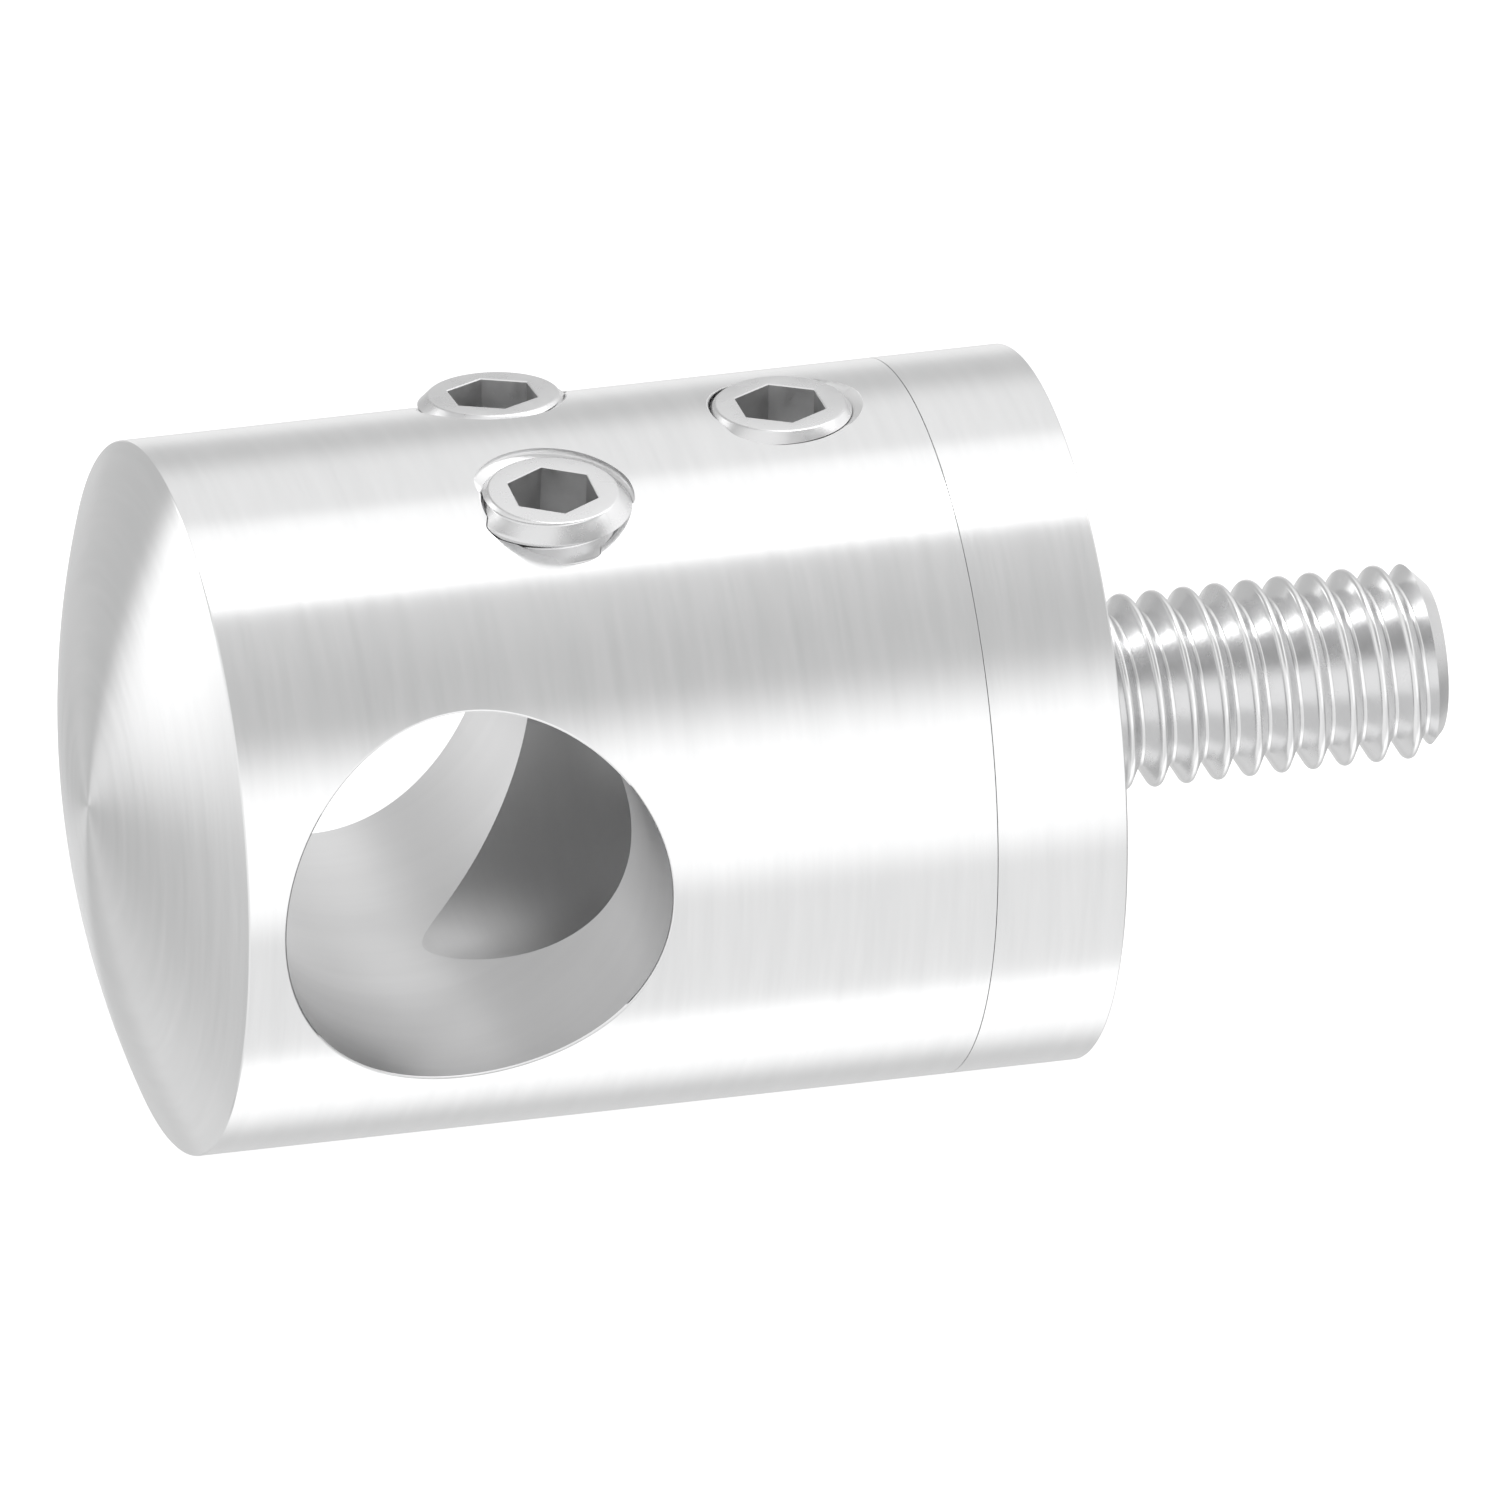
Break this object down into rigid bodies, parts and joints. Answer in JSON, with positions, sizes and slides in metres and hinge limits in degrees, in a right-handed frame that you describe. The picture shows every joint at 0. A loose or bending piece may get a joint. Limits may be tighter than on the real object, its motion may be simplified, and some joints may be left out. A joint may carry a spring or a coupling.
{
  "type": "railing bar holder",
  "caption": "Turned stainless holder with a crowned swivelling head, a cross bore for a round bar, grub screws and a threaded stud.",
  "frame": {"origin": "centre of the base's mounting face, on the stud's axis", "axes": "+X along the stud into the post, +Y along the bar bore, +Z on the side of the grub screws"},
  "size_m": [0.0424, 0.022, 0.022],
  "materials": {
    "turned_steel": "fine turned and brushed round the axis, satin",
    "threaded_steel": "bright rolled thread",
    "grub_screw_steel": "bright, slightly tumbled"
  },
  "bodies": {
    "base": {"base": "turned_steel", "stud": "threaded_steel"},
    "head": {"head": "turned_steel"},
    "clamp_screw_front": {"clamp_screw_front": "grub_screw_steel"},
    "clamp_screw_rear": {"clamp_screw_rear": "grub_screw_steel"},
    "locking_screw": {"locking_screw": "grub_screw_steel"}
  },
  "joints": [
    {"name": "head_swivel", "type": "hinge", "parent": "base", "child": "head", "pos_m": [-0.0078, 0, 0], "axis": [1, 0, 0], "continuous": true},
    {"name": "front_clamp_travel", "type": "slide", "parent": "head", "child": "clamp_screw_front", "axis": [0, -0.0958, 0.9954], "range_m": [-0.0016, 0.0016]},
    {"name": "rear_clamp_travel", "type": "slide", "parent": "head", "child": "clamp_screw_rear", "axis": [0, 0.0958, 0.9954], "range_m": [-0.0016, 0.0016]},
    {"name": "locking_travel", "type": "slide", "parent": "head", "child": "locking_screw", "axis": [0, 0, 1], "range_m": [0, 0.0016]}
  ]
}
